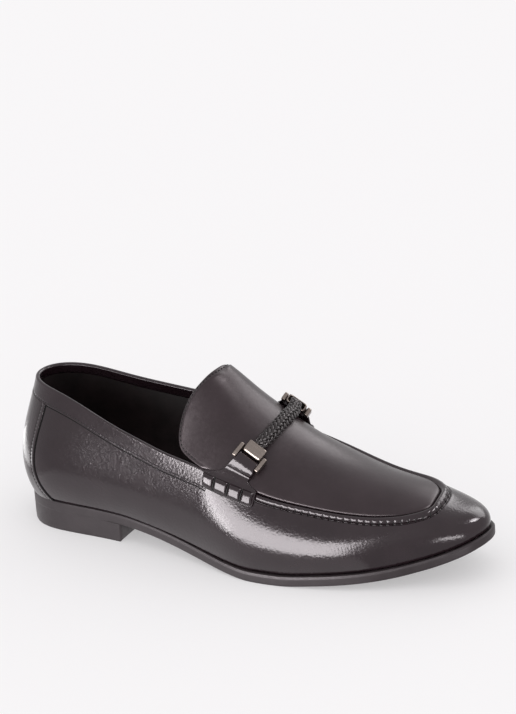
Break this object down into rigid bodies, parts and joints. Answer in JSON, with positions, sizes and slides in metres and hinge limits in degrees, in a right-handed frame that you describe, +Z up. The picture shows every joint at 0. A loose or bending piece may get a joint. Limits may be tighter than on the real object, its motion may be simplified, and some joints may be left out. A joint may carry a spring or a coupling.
{
  "type": "bit loafer",
  "caption": "Right slip-on dress loafer: hollow leather upper with raised apron seam and tall tongue, low heel, metal clamps joined by a plaited cord over the instep.",
  "frame": {"origin": "middle of the heel's flat ground face, on the floor", "axes": "+X toward the toe, +Y toward the medial (inner) side of this right shoe, +Z up from the floor"},
  "size_m": [0.3075, 0.1011, 0.1106],
  "materials": {
    "black_sole_leather": "smooth, dyed edge",
    "heel_rubber": "matt",
    "black_polished_leather": "polished, fine grain",
    "dark_lining": "matt",
    "dark_nickel": "dark, softly brushed",
    "black_braid": "plaited, satin"
  },
  "bodies": {
    "root": {"outsole": "black_sole_leather", "heel": "heel_rubber", "upper": "black_polished_leather", "insole": "dark_lining", "strap_lateral": "black_polished_leather", "strap_medial": "black_polished_leather", "fitting_lateral": "dark_nickel", "fitting_medial": "dark_nickel", "braid": "black_braid"}
  },
  "joints": []
}
